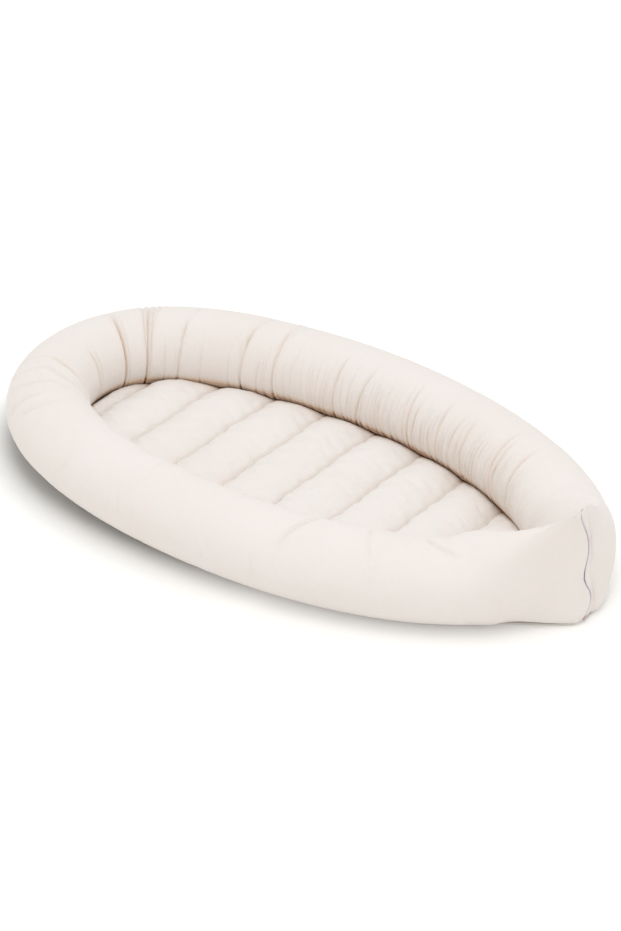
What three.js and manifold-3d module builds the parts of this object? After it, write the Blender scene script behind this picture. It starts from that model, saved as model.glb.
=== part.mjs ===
// An infant lounger: one long stuffed bolster bent into a ring, sewn round a quilted pad over a flat sole.
// Millimetres, +Z up, +X towards the pointed foot end, where a concealed zip closes the bolster's seam.
import * as THREE from "three";
import { mergeVertices } from "three/addons/utils/BufferGeometryUtils.js";
import Module from "manifold-3d";

// Fits between pieces
const clearance = 0.3; // between pieces that touch on the real lounger
const filledGap = 0.4; // between a stuffing and the cloth round it
const cutOverrun = 2; // how far a cutting shape runs past what it cuts

// The bolster's centre line, seen from above
const headX = -376; // where it crosses the middle at the round head
const widestX = -10; // where the two long sides are furthest apart
const halfWidth = 193.5;
const footX = 393; // the foot seam, a little to the near side of the middle
const footY = -26;
const nearSeamStretch = 10; // how far the straight stretch that carries the foot seam runs to the near side,
const farSeamStretch = 18; // and to the far side
const headRoundShares = { across: 0.66, along: 0.59 };
const nearFootShares = { leave: 0.52, arrive: 0.55, angle: 58 };
const farFootShares = { leave: 0.73, arrive: 0.33, angle: 134 };

// The bolster's round section, and the tall flat end that its foot seam pulls it into
const tubeHalfWidth = 54;
const tubeHalfHeight = 52.5;
const tubeSag = 4.3; // how far its own weight presses the round section flat underneath
const footHalfWidth = 64;
const footHeight = 155;
const footLean = 16; // how far the foot's outer face leans back at its top
const nearRiseReach = 110; // how far from the seam the crown starts to climb to the foot's top
const farRiseReach = 85;
const riseSteepness = 1.4;
const nearRidgeReach = 90; // how far from the seam the crown starts to draw out over the outer face
const farRidgeReach = 60;
const nearBaseReach = 62; // how far from the seam the outer face starts to come straight down to the floor
const farBaseReach = 100;
const nearWaist = 8; // how far the near flank is drawn in beside the seam
const waistReach = 55;
const squareReach = 70; // how far from the seam a section comes to lie square to the centre line
const roundPower = 2; // the section's upper half is an ellipse where it is round,
const facePower = 12; // at the seam its outer side is nearly a flat face with a corner,
const slopePower = 0.95; // and its inner side a straight slope
const ridgeInset = 3.65; // inside the narrow ridge a layer lies this many times deeper than elsewhere
const coverThickness = 1.6;
const rowsPerHalf = 18;
const rowSpacing = 130; // rows of the ring lie this far apart where it runs straight,
const rowTurnDegrees = 14; // this many degrees apart where it bends,
const seamRowSpacing = 45; // and this far apart where it climbs to the foot
const lineSamples = 400; // places at which a half of the centre line is measured
const crownTurns = 8; // steps over the top of the section, from one upper corner to the inner lower one
const flankTurns = 4; // steps down its outer side

// The sole and the quilted pad
const soleThickness = 1.5;
const soleTuck = 6; // how far the sole stays inside the foot's outer face
const padSeamHeight = 14;
const padCrownHeight = 31;
const headCrownHeight = 22; // the short channel at the head is drawn in
const padClothThickness = 1.5;
const padBackingThickness = 1.2;
const channelPitch = 80;
const headChannelLength = 27; // the short first channel
const footChannelLeast = 60; // the last channel runs on into the foot and is at least this long
const padEdgeGap = 0.9;
const padEndInset = 4; // how far the pad's two end edges stay inside the ring
const edgeRiseShare = 0.55; // the pad climbs from its sewn edge no faster than this slope
// Rise of a channel as a share of its crown: along the pad from seam to seam, then across it
const archShares = [[0, 0], [0.05, 0.36], [0.15, 0.66], [0.5, 1], [0.85, 0.66], [0.95, 0.36], [1, 0]];
const sideShares = [
  [-1, 0], [-0.94, 0.45], [-0.75, 0.85], [-0.35, 1],
  [0.35, 1], [0.75, 0.85], [0.94, 0.45], [1, 0],
];
const footStationShares = [0.32, 0.68, 0.9]; // further stations where the pad narrows to the foot

// The zip in the foot seam
const zipAside = 5; // it lies this far beyond the seam's middle, on the far side
const slitWidth = 5;
const slitBottom = 24;
const slitTopInset = 15; // from the foot's top corner to the slit
const slitEndSteps = 5;
const tapeThickness = 0.6;
const tapeHalfWidth = 13;
const tapeBend = 5; // from here outwards each tape slopes to the cover's inner face
const tapeSeat = 8;
const tapeOverlap = 3; // how far the tapes run past the slit at each end
const coilPitch = 3;
const coilDepth = 1.8;
const coilSpineWidth = 1.4;
const coilSpineOffset = 1.2; // from the seam's middle to each spine
const toothHeadWidth = 1.6;
const toothTipWidth = 0.9;
const toothNeckWidth = 0.8;
const toothNeckEnd = 0.05; // the neck, the head and the tip end this far past the middle
const toothHeadEnd = 0.3;
const toothTipEnd = 0.9;
const sliderLength = 10;
const sliderPlate = 1;
const sliderRail = 1; // the rails that hold the two coils in, where the slider is narrowest
const sliderShoulder = 0.7; // how much wider it is at its mouth, on each side
const sliderMouth = 4; // length of the wide mouth
const sliderCorner = 0.8;
const wedgeHalfWidth = 0.9;
const wedgeLength = 3;
const wedgeShoulder = 1.5;
const lugHalfWidth = 0.9;
const lugLength = 5;
const lugHeight = 1.1;
const lugSlope = 1;
const stopLength = 2;
const stopInset = 2; // from the ends of the slit to the stops
const stopWing = 1.8; // how far a stop's jaws reach over the tape

const wasm = await Module();
wasm.setup();
const { lerp, clamp, smoothstep, degToRad } = THREE.MathUtils;

// A closed geometry as a solid that can be joined and cut.
function solidOf(geometry) {
  const bare = geometry.index ? geometry.toNonIndexed() : geometry.clone();
  bare.deleteAttribute("normal");
  bare.deleteAttribute("uv");
  const merged = mergeVertices(bare);
  const triVerts = new Uint32Array(merged.index.array);
  return new wasm.Manifold(
    new wasm.Mesh({ numProp: 3, vertProperties: merged.attributes.position.array, triVerts }),
  );
}

// A joined or cut solid as a geometry again.
function geometryOf(solid) {
  const { vertProperties, triVerts, numProp } = solid.getMesh();
  const geometry = new THREE.BufferGeometry();
  geometry.setAttribute("position", new THREE.BufferAttribute(vertProperties, numProp));
  return geometry.setIndex(new THREE.BufferAttribute(triVerts, 1));
}

// The value of a bent line of [place, value] points at a place.
function alongLine(line, place) {
  const next = line.findIndex(([p]) => p >= place);
  if (next === 0) return line[0][1];
  if (next < 0) return line.at(-1)[1];
  const [p0, v0] = line[next - 1];
  const [p1, v1] = line[next];
  return lerp(v0, v1, (place - p0) / (p1 - p0));
}

// A skin of quads between rows of points. Rows and columns wrap round where they are said to.
function gridFaces(rows, columns, wrapRows, wrapColumns, place, faces, flip) {
  for (let i = 0; i < rows - (wrapRows ? 0 : 1); i++) {
    for (let j = 0; j < columns - (wrapColumns ? 0 : 1); j++) {
      const a = place(i, j);
      const b = place((i + 1) % rows, j);
      const c = place((i + 1) % rows, (j + 1) % columns);
      const d = place(i, (j + 1) % columns);
      faces.push(...(flip ? [a, c, b, a, d, c] : [a, b, c, a, c, d]));
    }
  }
}

function geometryFrom(points, faces) {
  const geometry = new THREE.BufferGeometry();
  geometry.setAttribute("position", new THREE.Float32BufferAttribute(points.flat(), 3));
  geometry.setIndex(faces);
  geometry.computeVertexNormals();
  return geometry;
}

// One half of the centre line, from the head to the foot seam, sampled finely.
function halfLine(side) {
  const shares = side < 0 ? nearFootShares : farFootShares;
  const widest = new THREE.Vector2(widestX, side * halfWidth);
  const foot = new THREE.Vector2(footX, footY + side * (side < 0 ? nearSeamStretch : farSeamStretch));
  const arrive = shares.arrive * halfWidth;
  const angle = degToRad(shares.angle);
  const line = new THREE.CurvePath();
  line.add(
    new THREE.CubicBezierCurve(
      new THREE.Vector2(headX, 0),
      new THREE.Vector2(headX, side * headRoundShares.across * halfWidth),
      new THREE.Vector2(lerp(widestX, headX, headRoundShares.along), widest.y),
      widest,
    ),
  );
  line.add(
    new THREE.CubicBezierCurve(
      widest,
      new THREE.Vector2(lerp(widestX, footX, shares.leave), widest.y),
      new THREE.Vector2(foot.x - arrive * Math.cos(angle), foot.y + side * arrive * Math.sin(angle)),
      foot,
    ),
  );
  return line;
}

// Rows of one half, closer together where it bends. Each has its place and the way out, then as shares how
// far it has turned to face the foot, climbed, drawn into the ridge and come down straight, and its waist.
function halfRows(side) {
  const line = halfLine(side);
  const length = line.getLength();
  const step = length / lineSamples;
  const riseReach = side < 0 ? nearRiseReach : farRiseReach;
  const ridgeReach = side < 0 ? nearRidgeReach : farRidgeReach;
  const baseReach = side < 0 ? nearBaseReach : farBaseReach;
  const deepestWaist = side < 0 ? nearWaist : 0;
  let heading = line.getTangentAt(0).angle();
  let need = 0; // rows wanted so far
  const needs = [[need, 0]];
  for (let i = 1; i <= lineSamples; i++) {
    const share = i / lineSamples;
    const turned = Math.abs(line.getTangentAt(share).angle() - heading);
    heading = line.getTangentAt(share).angle();
    need += step / rowSpacing + Math.min(turned, 2 * Math.PI - turned) / degToRad(rowTurnDegrees);
    if (length * (1 - share) < riseReach) need += step / seamRowSpacing;
    needs.push([need, share]);
  }
  return Array.from({ length: rowsPerHalf + 1 }, (_, k) => {
    const share = alongLine(needs, (need * k) / rowsPerHalf);
    const toSeam = length * (1 - share);
    const tangent = line.getTangentAt(share);
    const facing = clamp(1 - toSeam / squareReach, 0, 1);
    const square = new THREE.Vector2(-tangent.y, tangent.x).multiplyScalar(side);
    const out = square.lerp(new THREE.Vector2(1, 0), facing).normalize();
    const drawn = clamp(1 - toSeam / waistReach, 0, 1);
    return {
      place: line.getPointAt(share),
      out,
      facing,
      rise: clamp(1 - toSeam / riseReach, 0, 1) ** riseSteepness,
      ridge: smoothstep(ridgeReach - toSeam, 0, ridgeReach),
      base: smoothstep(baseReach - toSeam, 0, baseReach),
      waist: deepestWaist * 4 * drawn * (1 - drawn), // deepest halfway
    };
  });
}

const nearRows = halfRows(-1);
const farRows = halfRows(1);
const seamRow = { ...farRows.at(-1), place: new THREE.Vector2(footX, footY) };
const rows = [seamRow, ...nearRows.slice(1).reverse(), ...farRows];

const onSole = soleThickness + clearance; // the height at which what lies on the sole starts
const tubeAxisHeight = onSole + tubeHalfHeight - tubeSag;
const flatTurn = -Math.asin(1 - tubeSag / tubeHalfHeight); // where the flat underside starts
const upperCorner = Math.PI / 4;
const innerCorner = 5 * upperCorner;
const turns = [
  flatTurn,
  ...Array.from({ length: flankTurns }, (_, k) => lerp(-upperCorner, upperCorner, k / flankTurns)),
  ...Array.from({ length: crownTurns + 1 }, (_, k) => lerp(upperCorner, innerCorner, k / crownTurns)),
  Math.PI - flatTurn,
];
const innerRoundShare = -0.2; // inside this the section stays round at the foot too

function outerReach(row) {
  return lerp(tubeHalfWidth, footHalfWidth, row.facing) - row.waist;
}

// Where a turn of the section's lower half lies. It is round with a flat underside, and at the foot its
// outer side comes straight down.
function lowerPoint(row, across, up, inset) {
  const reach = across > 0 ? outerReach(row) : tubeHalfWidth;
  const floor = onSole + inset;
  const side = Math.max(Math.abs(across), Math.abs(up));
  const square = across > innerRoundShare ? row.base : 0;
  const roundHeight = Math.max(tubeAxisHeight + (tubeHalfHeight - inset) * up, floor);
  const squareHeight = lerp(tubeAxisHeight, floor, Math.abs(up) / side);
  return {
    out: (reach - inset) * lerp(across, across / side, square),
    height: lerp(roundHeight, squareHeight, square),
  };
}

// Where a turn of its upper half lies. The crown moves out over the outer face at the foot.
function upperPoint(row, across, up, inset) {
  const outer = outerReach(row) - inset;
  const edge = across > 0 ? outer : inset - tubeHalfWidth;
  const power = lerp(roundPower, across > 0 ? facePower : slopePower, row.ridge);
  const top = lerp(tubeAxisHeight + tubeHalfHeight, footHeight, row.rise);
  const crown = top - inset * lerp(1, ridgeInset, row.ridge);
  return {
    out: lerp(row.ridge * outer, edge, Math.abs(across) ** (2 / power)),
    height: lerp(tubeAxisHeight, crown, up ** (2 / power)),
  };
}

// Where a turn of the section lies: out from the centre line and up from the floor. Inset is how far
// inside the cover's outer face it is.
function sectionPoint(row, turn, inset) {
  const point = Math.sin(turn) > 0 ? upperPoint : lowerPoint;
  const { out, height } = point(row, Math.cos(turn), Math.sin(turn), inset);
  const lean = (footLean * row.ridge * Math.max(out, 0) * height) / ((outerReach(row) - inset) * footHeight);
  return { out: out - lean, height };
}

// The whole ring at an inset, as one closed solid.
function ringSolid(inset) {
  const points = rows.flatMap((row) =>
    turns.map((turn) => {
      const { out, height } = sectionPoint(row, turn, inset);
      return [row.place.x + row.out.x * out, row.place.y + row.out.y * out, height];
    }),
  );
  const faces = [];
  gridFaces(rows.length, turns.length, true, true, (i, j) => i * turns.length + j, faces, true);
  return solidOf(geometryFrom(points, faces));
}

// Outlines drawn flat and pushed along an axis: the first draws in y and z, the second in z and x
const axes = [new THREE.Vector3(1, 0, 0), new THREE.Vector3(0, 1, 0), new THREE.Vector3(0, 0, 1)];
const alongX = new THREE.Matrix4().makeBasis(axes[1], axes[2], axes[0]);
const alongY = new THREE.Matrix4().makeBasis(axes[2], axes[0], axes[1]);
const alongZ = new THREE.Matrix4();

function pushed(outline, from, to, along) {
  const corners = outline.map(([a, b]) => new THREE.Vector2(a, b));
  const options = { depth: to - from, bevelEnabled: false };
  return new THREE.ExtrudeGeometry(new THREE.Shape(corners), options)
    .translate(0, 0, from)
    .applyMatrix4(along);
}

// A tall outline with half-round ends.
function stadium(radius, bottom, top) {
  const half = (middle, start) =>
    Array.from({ length: slitEndSteps + 1 }, (_, k) => {
      const angle = start + (Math.PI * k) / slitEndSteps;
      return [radius * Math.cos(angle), middle + radius * Math.sin(angle)];
    });
  return [...half(top - radius, 0), ...half(bottom + radius, Math.PI)];
}

// Depths behind the foot's outer face, from the lips of the slit inwards
const frontPlateOut = coverThickness + clearance;
const frontPlateIn = frontPlateOut + sliderPlate;
const coilOut = frontPlateIn + clearance;
const coilIn = coilOut + coilDepth;
const backPlateOut = coilIn + clearance;
const backPlateIn = backPlateOut + sliderPlate;
const tapeMiddle = (coilOut + coilIn) / 2;
const pocketDepth = backPlateIn + filledGap;
const tapeEdge = coilSpineOffset + coilSpineWidth + clearance;
const slitTop = footHeight - slitTopInset;
const tapeBottom = slitBottom - tapeOverlap;
const tapeTop = slitTop + tapeOverlap;

// Everything that is set by the seam is drawn from its outer face, then leant back and carried there.
const atSeam = new THREE.Matrix4()
  .makeTranslation(footX + footHalfWidth, footY + zipAside, 0)
  .multiply(new THREE.Matrix4().makeRotationY(-Math.atan(footLean / footHeight)));

function bolsterCover() {
  const outline = stadium(slitWidth / 2, slitBottom, slitTop);
  const slit = pushed(outline, -coverThickness - cutOverrun, cutOverrun, alongX);
  const shell = ringSolid(0).subtract(ringSolid(coverThickness));
  return geometryOf(shell.subtract(solidOf(slit.applyMatrix4(atSeam))));
}

// The filling leaves room for the zip, up to the ridge and through it.
function bolsterFilling() {
  const half = tapeHalfWidth + filledGap;
  const bottom = tapeBottom - filledGap;
  const outline = [[-half, bottom], [half, bottom], [half, footHeight], [-half, footHeight]];
  const pocket = pushed(outline, -pocketDepth, cutOverrun, alongX).applyMatrix4(atSeam);
  return geometryOf(ringSolid(coverThickness + filledGap).subtract(solidOf(pocket)));
}

// The sole covers the flat underside of the ring, and runs out under the foot.
function sole() {
  const flatHalf = tubeHalfWidth * Math.cos(flatTurn);
  const outline = rows.map((row) => {
    const out = lerp(flatHalf, outerReach(row) - soleTuck, row.base);
    return [row.place.x + row.out.x * out, row.place.y + row.out.y * out];
  });
  return pushed(outline, 0, soleThickness, alongZ);
}

// The pad's outline: the ring's inner wall at the height of the seam that joins them.
const innerTurns = turns.filter((turn) => turn > Math.PI).reverse();
const padOutline = rows.map((row) => {
  const wall = innerTurns.map((turn) => sectionPoint(row, turn, 0)).map(({ out, height }) => [height, out]);
  const out = alongLine(wall, padSeamHeight) - padEdgeGap;
  return [row.place.x + row.out.x * out, row.place.y + row.out.y * out];
});

// The two y values at which the pad's outline crosses an x.
function padSides(x) {
  const crossings = padOutline.flatMap(([x0, y0], i) => {
    const [x1, y1] = padOutline[(i + 1) % padOutline.length];
    return (x0 - x) * (x1 - x) < 0 ? [lerp(y0, y1, (x - x0) / (x1 - x0))] : [];
  });
  return [Math.min(...crossings), Math.max(...crossings)];
}

// How far a place of the pad is from its outline.
function edgeDistance(x, y) {
  const place = new THREE.Vector3(x, y, 0);
  const corners = padOutline.map(([px, py]) => new THREE.Vector3(px, py, 0));
  const near = new THREE.Vector3();
  const distances = corners.map((corner, i) => {
    new THREE.Line3(corner, corners[(i + 1) % corners.length]).closestPointToPoint(place, true, near);
    return near.distanceTo(place);
  });
  return Math.min(...distances);
}

const padStart = Math.min(...padOutline.map(([x]) => x)) + padEndInset;
const padEnd = padOutline[0][0] - padEndInset; // short of the wall behind the foot seam
const firstSeam = padStart + headChannelLength;
const channelSeams = 1 + Math.floor((padEnd - footChannelLeast - firstSeam) / channelPitch);
const seamPlaces = Array.from({ length: channelSeams }, (_, k) => firstSeam + k * channelPitch);
const channelEnds = [padStart, ...seamPlaces, padEnd];
const channels = channelEnds.slice(1).map((end, k) => ({
  start: channelEnds[k],
  end,
  crown: k === 0 ? headCrownHeight : padCrownHeight,
  stations: archShares
    .map(([share]) => share)
    .concat(k === channelSeams ? footStationShares : [])
    .sort((a, b) => a - b),
}));

// A point of the pad in a channel, between a height at its seams and one at its crown.
function padPoint(channel, along, across, seamHeight, crownHeight) {
  const x = lerp(channel.start, channel.end, along);
  const [near, far] = padSides(x);
  const y = lerp(near, far, (across + 1) / 2);
  const steepest = (edgeRiseShare * edgeDistance(x, y)) / (channel.crown - padSeamHeight);
  const rise = Math.min(alongLine(archShares, along) * alongLine(sideShares, across), steepest);
  return [x, y, lerp(seamHeight, crownHeight, rise)];
}

// A closed slab between an upper and a lower grid of points.
function slab(upper, lower) {
  const rowCount = upper.length;
  const columnCount = upper[0].length;
  const points = [...upper.flat(), ...lower.flat()];
  const lowerStart = rowCount * columnCount;
  const faces = [];
  gridFaces(rowCount, columnCount, false, false, (i, j) => i * columnCount + j, faces, false);
  gridFaces(rowCount, columnCount, false, false, (i, j) => lowerStart + i * columnCount + j, faces, true);
  const rim = [];
  for (let i = 0; i < rowCount - 1; i++) rim.push(i * columnCount);
  for (let j = 0; j < columnCount - 1; j++) rim.push((rowCount - 1) * columnCount + j);
  for (let i = rowCount - 1; i > 0; i--) rim.push(i * columnCount + columnCount - 1);
  for (let j = columnCount - 1; j > 0; j--) rim.push(j);
  gridFaces(rim.length, 2, true, false, (i, j) => rim[i] + j * lowerStart, faces, true);
  return geometryFrom(points, faces);
}

const across = sideShares.map(([share]) => share);
const backingCrown = onSole + padBackingThickness;
const backingSeam = padSeamHeight - padClothThickness - clearance;

// A sheet of the pad: all its channels in one piece, with the cloth's thickness below it.
function padSheet(seamHeight, crownOf, thickness) {
  const grid = channels.flatMap((channel, k) => {
    const stations = k < channelSeams ? channel.stations.slice(0, -1) : channel.stations;
    return stations.map((along) =>
      across.map((side) => padPoint(channel, along, side, seamHeight, crownOf(channel))),
    );
  });
  return slab(grid, grid.map((row) => row.map(([x, y, z]) => [x, y, z - thickness])));
}

// The stuffing of one channel, between the pad's upper cloth and its backing.
function channelFilling(channel) {
  const grid = (seamHeight, crownHeight) =>
    channel.stations
      .slice(1, -1)
      .map((along) =>
        across.slice(1, -1).map((side) => padPoint(channel, along, side, seamHeight, crownHeight)),
      );
  const under = padClothThickness + filledGap;
  return slab(
    grid(padSeamHeight - under, channel.crown - under),
    grid(backingSeam + filledGap, backingCrown + filledGap),
  );
}

// The zip's heights, from its lower stops up
const sliderBottom = slitBottom + stopInset + stopLength + clearance;
const coilBottom = sliderBottom + wedgeLength + clearance;
const upperStopBottom = slitTop - stopInset - stopLength;
const coilTop = upperStopBottom - clearance;
const coilTurns = Math.floor((coilTop - coilBottom) / coilPitch) - 1;

// A tape: from its coil outwards, then against the cover's inner face.
function zipTape(side) {
  const half = tapeThickness / 2;
  const seated = frontPlateOut + half;
  const line = [
    [tapeMiddle, tapeEdge], [tapeMiddle, tapeBend],
    [seated, tapeSeat], [seated, tapeHalfWidth],
  ];
  const outer = line.map(([depth, y]) => [half - depth, side * y]);
  const inner = line.map(([depth, y]) => [-half - depth, side * y]).reverse();
  return pushed([...outer, ...inner], tapeBottom, tapeTop, alongZ);
}

// A coil: its spine, with one headed turn at every pitch that passes between two of the other side.
function zipCoil(side) {
  const spineOuter = coilSpineOffset + coilSpineWidth;
  const start = coilBottom + coilPitch * (side < 0 ? 0.5 : 1);
  const outline = [[-spineOuter, coilTop], [-spineOuter, coilBottom], [-coilSpineOffset, coilBottom]];
  for (let k = 0; k < coilTurns; k++) {
    const middle = start + k * coilPitch;
    const rising = [
      [-coilSpineOffset, toothNeckWidth],
      [toothNeckEnd, toothNeckWidth],
      [toothHeadEnd, toothHeadWidth],
      [toothTipEnd, toothTipWidth],
    ];
    outline.push(...rising.map(([y, width]) => [y, middle - width / 2]));
    outline.push(...rising.reverse().map(([y, width]) => [y, middle + width / 2]));
  }
  outline.push([-coilSpineOffset, coilTop]);
  return pushed(outline.map(([y, z]) => [-side * y, z]), -coilIn, -coilOut, alongX);
}

// The slider: two railed plates joined by the wedge that parts the coils, and a low lug outside.
function zipSlider() {
  const wide = tapeEdge + sliderRail + sliderShoulder;
  const narrow = tapeEdge + sliderRail;
  const railOut = tapeMiddle - tapeThickness / 2 - clearance;
  const railIn = tapeMiddle + tapeThickness / 2 + clearance;
  const top = sliderBottom + sliderLength;
  const jaw = (plateBack, plateFront, railEnd) => [
    [plateBack, -wide], [plateBack, wide], [railEnd, wide], [railEnd, tapeEdge],
    [plateFront, tapeEdge], [plateFront, -tapeEdge], [railEnd, -tapeEdge], [railEnd, -wide],
  ];
  const front = pushed(jaw(-frontPlateOut, -frontPlateIn, -railOut), sliderBottom, top, alongZ);
  const back = pushed(jaw(-backPlateIn, -backPlateOut, -railIn), sliderBottom, top, alongZ);
  const wedge = pushed(
    [
      [-wedgeHalfWidth, sliderBottom], [wedgeHalfWidth, sliderBottom],
      [wedgeHalfWidth, sliderBottom + wedgeShoulder], [0, sliderBottom + wedgeLength],
      [-wedgeHalfWidth, sliderBottom + wedgeShoulder],
    ],
    -backPlateOut - sliderPlate / 2,
    -frontPlateIn + sliderPlate / 2,
    alongX,
  );
  const lugBottom = sliderBottom + (sliderLength - lugLength) / 2;
  const lugFoot = -frontPlateOut - sliderPlate / 2;
  const lugTop = -frontPlateOut + lugHeight;
  const lug = pushed(
    [
      [lugBottom, lugFoot], [lugBottom + lugLength, lugFoot],
      [lugBottom + lugLength - lugSlope, lugTop], [lugBottom + lugSlope, lugTop],
    ],
    -lugHalfWidth,
    lugHalfWidth,
    alongY,
  );
  const outline = pushed(
    [
      [-wide, sliderBottom + sliderCorner], [-wide + sliderCorner, sliderBottom],
      [wide - sliderCorner, sliderBottom], [wide, sliderBottom + sliderCorner],
      [wide, sliderBottom + sliderMouth], [narrow, sliderBottom + sliderMouth + sliderCorner],
      [narrow, top - sliderCorner], [narrow - sliderCorner, top],
      [sliderCorner - narrow, top], [-narrow, top - sliderCorner],
      [-narrow, sliderBottom + sliderMouth + sliderCorner], [-wide, sliderBottom + sliderMouth],
    ],
    -pocketDepth,
    0,
    alongX,
  );
  const body = solidOf(front).add(solidOf(back)).add(solidOf(wedge)).add(solidOf(lug));
  return geometryOf(body.intersect(solidOf(outline)));
}

// Half of a stop's outline: jaws over both faces of a tape, from a web at its inner edge.
function stopHalf(side, webInner) {
  const webOuter = tapeEdge - clearance;
  const wing = tapeEdge + stopWing;
  const slotOut = -(tapeMiddle - tapeThickness / 2 - clearance);
  const slotIn = -(tapeMiddle + tapeThickness / 2 + clearance);
  const outer = [[-frontPlateIn, webInner], [-frontPlateIn, wing], [slotOut, wing], [slotOut, webOuter]];
  const inner = [[slotIn, webOuter], [slotIn, wing], [-backPlateOut, wing], [-backPlateOut, webInner]];
  return [...outer, ...inner].map(([x, y]) => [x, side * y]);
}

// A lower stop sits on one tape's edge.
function lowerStop(side) {
  const bottom = slitBottom + stopInset;
  return pushed(stopHalf(side, coilSpineOffset), bottom, bottom + stopLength, alongZ);
}

// The upper stop holds both tapes together.
function upperStop() {
  const outline = [...stopHalf(1, 0).slice(1, -1), ...stopHalf(-1, 0).slice(1, -1).reverse()];
  return pushed(outline, upperStopBottom, upperStopBottom + stopLength, alongZ);
}

// Colour, roughness and metalness of each material
const coverCotton = { color: 0xf3ece4, roughness: 0.92 };
const padCotton = { color: 0xefe8e1, roughness: 0.92 };
const soleCotton = { color: 0xe6dfd5, roughness: 0.95 };
const wadding = { color: 0xfafafa, roughness: 1 };
const zipTapeWeave = { color: 0xd9cfe0, roughness: 0.9 };
const zipNylon = { color: 0xe6dfe8, roughness: 0.45 };
const sliderLacquer = { color: 0xece5de, roughness: 0.35, metalness: 0.4 };

// A sub-part with its own material.
function part(name, geometry, finish) {
  const mesh = new THREE.Mesh(geometry, new THREE.MeshStandardMaterial(finish));
  mesh.name = name;
  return mesh;
}

const zip = new THREE.Group();
zip.applyMatrix4(atSeam);
for (const [name, side] of [["near", -1], ["far", 1]]) {
  zip.add(part(`zip_tape_${name}`, zipTape(side), zipTapeWeave));
  zip.add(part(`zip_coil_${name}`, zipCoil(side), zipNylon));
  zip.add(part(`zip_lower_stop_${name}`, lowerStop(side), zipNylon));
}
zip.add(part("zip_upper_stop", upperStop(), zipNylon));
zip.add(part("zip_slider", zipSlider(), sliderLacquer));

const cloth = new THREE.Group();
cloth.add(zip);
cloth.add(part("bolster_cover", bolsterCover(), coverCotton));
cloth.add(part("bolster_filling", bolsterFilling(), wadding));
cloth.add(part("sole", sole(), soleCotton));
cloth.add(part("pad_top_cloth", padSheet(padSeamHeight, (c) => c.crown, padClothThickness), padCotton));
cloth.add(part("pad_backing", padSheet(backingSeam, () => backingCrown, padBackingThickness), padCotton));
channels.forEach((channel, k) => {
  cloth.add(part(`pad_filling_${k + 1}`, channelFilling(channel), wadding));
});

// The frame's origin is under the middle of the lounger's outer box.
const extent = new THREE.Box3().setFromObject(cloth);
const middle = extent.getCenter(new THREE.Vector3());
cloth.position.set(-middle.x, -middle.y, -extent.min.z);
const lounger = new THREE.Group();
lounger.add(cloth);

export default lounger;
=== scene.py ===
import math

import bmesh
import bpy
import numpy as np
from mathutils import Matrix, Vector
from mathutils.geometry import interpolate_bezier


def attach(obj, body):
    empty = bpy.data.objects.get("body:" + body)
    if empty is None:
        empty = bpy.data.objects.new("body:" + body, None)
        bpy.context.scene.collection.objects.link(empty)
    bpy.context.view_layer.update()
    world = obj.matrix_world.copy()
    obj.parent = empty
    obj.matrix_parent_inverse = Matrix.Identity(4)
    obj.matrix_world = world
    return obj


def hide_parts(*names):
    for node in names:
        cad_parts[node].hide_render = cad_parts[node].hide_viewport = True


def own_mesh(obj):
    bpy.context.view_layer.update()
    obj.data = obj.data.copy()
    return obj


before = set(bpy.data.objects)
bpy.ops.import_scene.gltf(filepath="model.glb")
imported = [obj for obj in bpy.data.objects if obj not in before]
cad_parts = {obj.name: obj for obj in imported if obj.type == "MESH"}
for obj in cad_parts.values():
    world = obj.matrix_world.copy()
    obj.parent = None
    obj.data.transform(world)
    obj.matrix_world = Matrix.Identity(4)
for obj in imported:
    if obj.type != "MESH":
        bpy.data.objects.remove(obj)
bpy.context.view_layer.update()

# The camera stands where the photographer did: high up and far back, beyond the near corner of the foot.
# Its lens is a long one, given by its focal length in pixels of the photograph.
photo_height = 931
focal_pixels = 2738
camera_place = Vector((1.8022, -2.3670, 1.9319))
camera_target = Vector((0.0263, -0.0243, 0.0640))

camera = bpy.data.objects.new("camera", bpy.data.cameras.new("camera"))
camera.data.lens = camera.data.sensor_width * focal_pixels / photo_height
camera.location = camera_place
camera.rotation_euler = (camera_target - camera_place).to_track_quat("-Z", "Y").to_euler()
bpy.context.scene.collection.objects.link(camera)
bpy.context.scene.camera = camera

# The studio: a plain pale floor that is clear from beneath, a pale sky all round, and one large soft lamp
# high above the near side. What the camera sees past the lounger is white. The floor's shadow is deepened by
# a painted shadow in its colour, most where the lounger stands close over it at the head, and less towards
# the foot.
sky_strength = 0.88
lamp_place = Vector((0.4, -0.5, 3.0))
lamp_size = 1.6
lamp_power = 18
floor_size = 12
floor_gap = 0.0004
floor_color = (0.81, 0.80, 0.78, 1)
floor_bounce = (0.96, 0.95, 0.92, 1)
floor_lift = 0.26
floor_shadow = (0.445, 0.445, 0.44, 1)
shadow_depth = 0.065
shadow_curve = 1.5
shadow_gain = 2.4
shadow_foot = 0.15
shadow_slope = 2.2
shadow_least = 0.12


class Socket:
    """An output of a shader node. Arithmetic on it adds the Math nodes that work it out."""

    def __init__(self, finish, output):
        self.finish = finish
        self.output = output

    def math(self, operation, *others):
        return self.finish.math(operation, self, *others)

    def __add__(self, other):
        return self.math("ADD", other)

    def __sub__(self, other):
        return self.math("SUBTRACT", other)

    def __rsub__(self, other):
        return self.finish.math("SUBTRACT", other, self)

    def __mul__(self, other):
        return self.math("MULTIPLY", other)

    __radd__ = __add__
    __rmul__ = __mul__


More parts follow.
